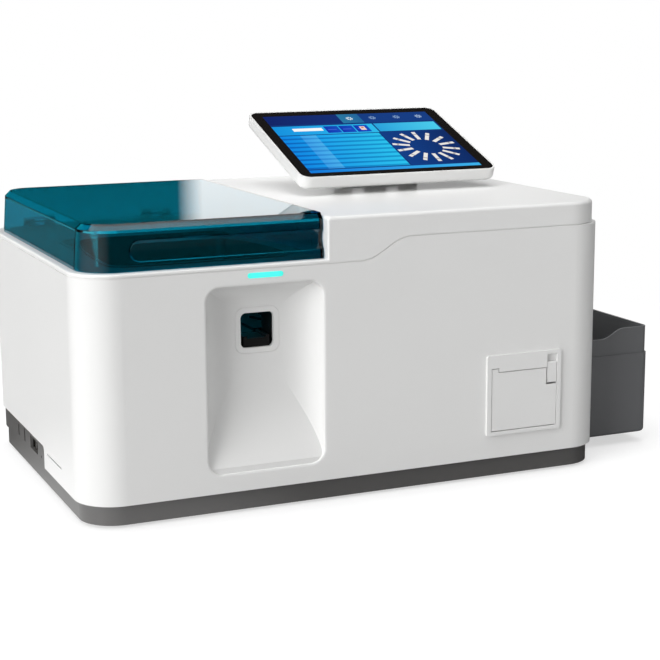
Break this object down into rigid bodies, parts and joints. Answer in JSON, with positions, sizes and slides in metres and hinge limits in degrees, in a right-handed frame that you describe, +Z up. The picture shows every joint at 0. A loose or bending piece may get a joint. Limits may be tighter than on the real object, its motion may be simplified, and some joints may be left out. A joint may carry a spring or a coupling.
{
  "type": "fluorescence immunoassay analyzer",
  "caption": "Bench analyzer: white housing on a dark base, tinted cover over a card turntable, card port in a front alcove, roll printer, tilting touch screen and slide-out waste bin.",
  "frame": {"origin": "middle of the base tray's flat underside, under the middle of the housing; the feet reach 3 mm lower", "axes": "+X to the instrument's right, seen from the front, +Y to the back, +Z up"},
  "size_m": [0.691, 0.4072, 0.3797],
  "materials": {
    "white_shell": "smooth moulded white, semi-gloss",
    "dark_base": "dark grey, satin",
    "dark_bin": "dark grey moulded",
    "black_plastic": "black moulded",
    "grey_plastic": "light grey moulded",
    "gear_plastic": "natural acetal",
    "teal_acrylic": "tinted clear acrylic, polished",
    "cyan_light": "lit translucent strip",
    "steel": "plain",
    "sheet_steel": "zinc plated sheet",
    "aluminium": "milled",
    "black_metal": "black anodised",
    "motor_black": "black enamel",
    "brass": "machined",
    "lens_glass": "polished",
    "screen_glass": "gloss touch glass",
    "circuit_board": "green solder mask",
    "connector_metal": "plated shell",
    "black_rubber": "matte",
    "paper": "thermal paper"
  },
  "bodies": {
    "housing": {"base_tray": "dark_base", "lower_housing": "white_shell", "rear_panel": "white_shell", "upper_housing": "white_shell", "sample_bay_deck": "black_plastic", "cover_hinges": "steel", "cover_hinge_pins": "steel", "status_light": "cyan_light", "port_frame": "white_shell", "port_tunnel": "black_plastic", "mechanism_plate": "aluminium", "plate_pillars": "steel", "plate_screws": "steel", "carousel_bearing": "steel", "drive_motor": "motor_black", "reader_rods": "steel", "reader_block": "aluminium", "waste_chute": "sheet_steel", "ejector_rail": "steel", "bin_runners": "grey_plastic", "printer_frame": "white_shell", "door_pin": "steel", "print_head": "aluminium", "lever_pin": "steel", "roll_spool": "grey_plastic", "screen_stand": "white_shell", "screen_pin": "steel", "fan_frame": "black_plastic", "fan_guard": "steel", "power_inlet": "black_plastic", "switch_body": "black_plastic", "switch_pin": "steel", "main_board": "circuit_board", "network_port": "connector_metal", "serial_port": "connector_metal", "usb_ports": "connector_metal", "power_supply": "sheet_steel", "rubber_feet": "black_rubber", "rear_screws": "steel"},
    "cover": {"top_cover": "teal_acrylic"},
    "turntable": {"carousel": "black_plastic", "carousel_gear": "gear_plastic", "carousel_spindle": "steel", "carousel_nut": "grey_plastic"},
    "motor_pinion": {"drive_pinion": "brass"},
    "reader": {"reader_head": "black_metal", "reader_lens": "lens_glass"},
    "ejector": {"card_ejector": "grey_plastic"},
    "stage": {"card_stage": "black_plastic"},
    "bin": {"waste_bin": "dark_bin"},
    "paper_door": {"printer_door": "white_shell"},
    "platen": {"platen_roller": "black_rubber"},
    "lever": {"printer_lever": "white_shell"},
    "roll": {"paper_roll": "paper"},
    "screen": {"screen_shell": "white_shell", "screen_glass": "screen_glass", "screen_panel": "aluminium", "screen_board": "circuit_board"},
    "fan": {"fan_rotor": "black_plastic"},
    "switch": {"power_switch": "black_plastic"}
  },
  "joints": [
    {"name": "cover_hinge", "type": "hinge", "parent": "housing", "child": "cover", "pos_m": [-0.16789, 0.1936, 0.2556], "axis": [-1, 0, 0], "range_deg": [0, 100]},
    {"name": "carousel_spin", "type": "hinge", "parent": "housing", "child": "turntable", "pos_m": [-0.10561, -0.02, 0.165], "axis": [0, 0, 1], "continuous": true},
    {"name": "pinion_spin", "type": "hinge", "parent": "housing", "child": "motor_pinion", "pos_m": [-0.16501, 0.0394, 0.155], "axis": [0, 0, 1], "continuous": true},
    {"name": "reader_slide", "type": "slide", "parent": "housing", "child": "reader", "axis": [0, 1, 0], "range_m": [-0.03, 0]},
    {"name": "ejector_slide", "type": "slide", "parent": "housing", "child": "ejector", "axis": [1, 0, 0], "range_m": [0, 0.064]},
    {"name": "stage_slide", "type": "slide", "parent": "housing", "child": "stage", "axis": [0, 1, 0], "range_m": [-0.035, 0]},
    {"name": "bin_slide", "type": "slide", "parent": "housing", "child": "bin", "axis": [1, 0, 0], "range_m": [0, 0.3]},
    {"name": "paper_door_hinge", "type": "hinge", "parent": "housing", "child": "paper_door", "pos_m": [0.191, -0.1986, 0.0545], "axis": [1, 0, 0], "range_deg": [0, 75]},
    {"name": "platen_spin", "type": "hinge", "parent": "paper_door", "child": "platen", "pos_m": [0.185, -0.191, 0.108], "axis": [1, 0, 0], "continuous": true},
    {"name": "lever_pull", "type": "hinge", "parent": "housing", "child": "lever", "pos_m": [0.225, -0.1988, 0.104], "axis": [1, 0, 0], "range_deg": [0, 22], "stiffness_Nm_per_rad": 0.02},
    {"name": "roll_spin", "type": "hinge", "parent": "housing", "child": "roll", "pos_m": [0.185, -0.171, 0.077], "axis": [1, 0, 0], "continuous": true},
    {"name": "screen_tilt", "type": "hinge", "parent": "housing", "child": "screen", "pos_m": [0.12976, 0.0454, 0.3182], "axis": [1, 0, 0], "range_deg": [-20, 4]},
    {"name": "fan_spin", "type": "hinge", "parent": "housing", "child": "fan", "pos_m": [-0.01989, 0.182, 0.107], "axis": [0, 1, 0], "continuous": true},
    {"name": "switch_rock", "type": "hinge", "parent": "housing", "child": "switch", "pos_m": [0.16, 0.196, 0.059], "axis": [-1, 0, 0], "range_deg": [0, 16]}
  ],
  "couplings": [
    {"joint": "pinion_spin", "follows": "carousel_spin", "ratio": -6}
  ]
}
